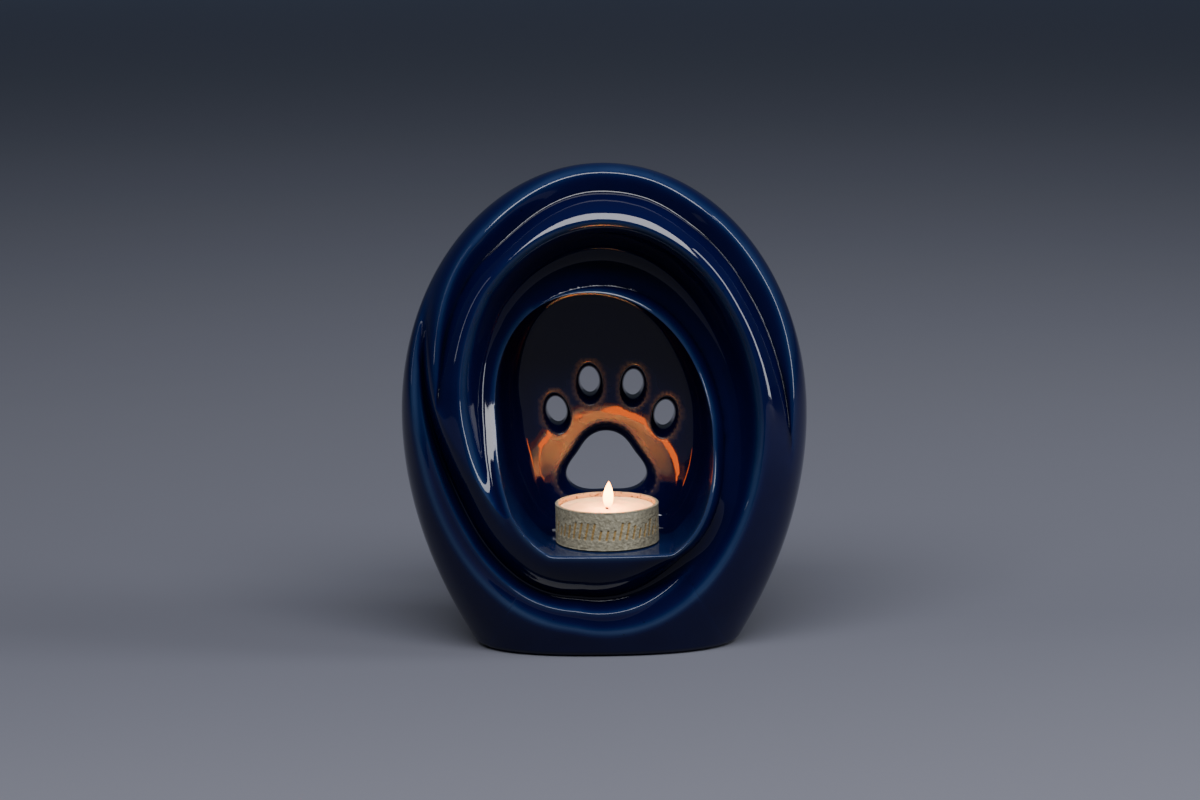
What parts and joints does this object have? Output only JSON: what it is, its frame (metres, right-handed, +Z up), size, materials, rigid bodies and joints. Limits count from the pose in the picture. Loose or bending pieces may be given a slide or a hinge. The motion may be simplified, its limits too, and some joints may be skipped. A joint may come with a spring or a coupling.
{
  "type": "funeral urn",
  "caption": "Egg-shaped glazed ceramic cremation urn for a pet, with a spiral carved round a candle niche and a paw print pierced through the back.",
  "frame": {"origin": "on the surface it stands on, under the middle of the whole urn's box", "axes": "+Z up along the urn's height, -Y towards the carved front and the candle, +X to the right as seen from the front"},
  "size_m": [0.16, 0.0824, 0.191],
  "materials": {
    "glaze": "deep cobalt gloss glaze that breaks to lighter blue on the raised edges",
    "stopper": "matt black rubber",
    "candle_band": "pebbled grey-cream board with debossed ochre strokes",
    "wax": "translucent cream wax",
    "wick": "charred cotton"
  },
  "bodies": {
    "root": {"urn_body": "glaze", "filling_hole_stopper": "stopper", "candle_cup": "candle_band", "candle_wax": "wax", "candle_wick": "wick"}
  },
  "joints": []
}
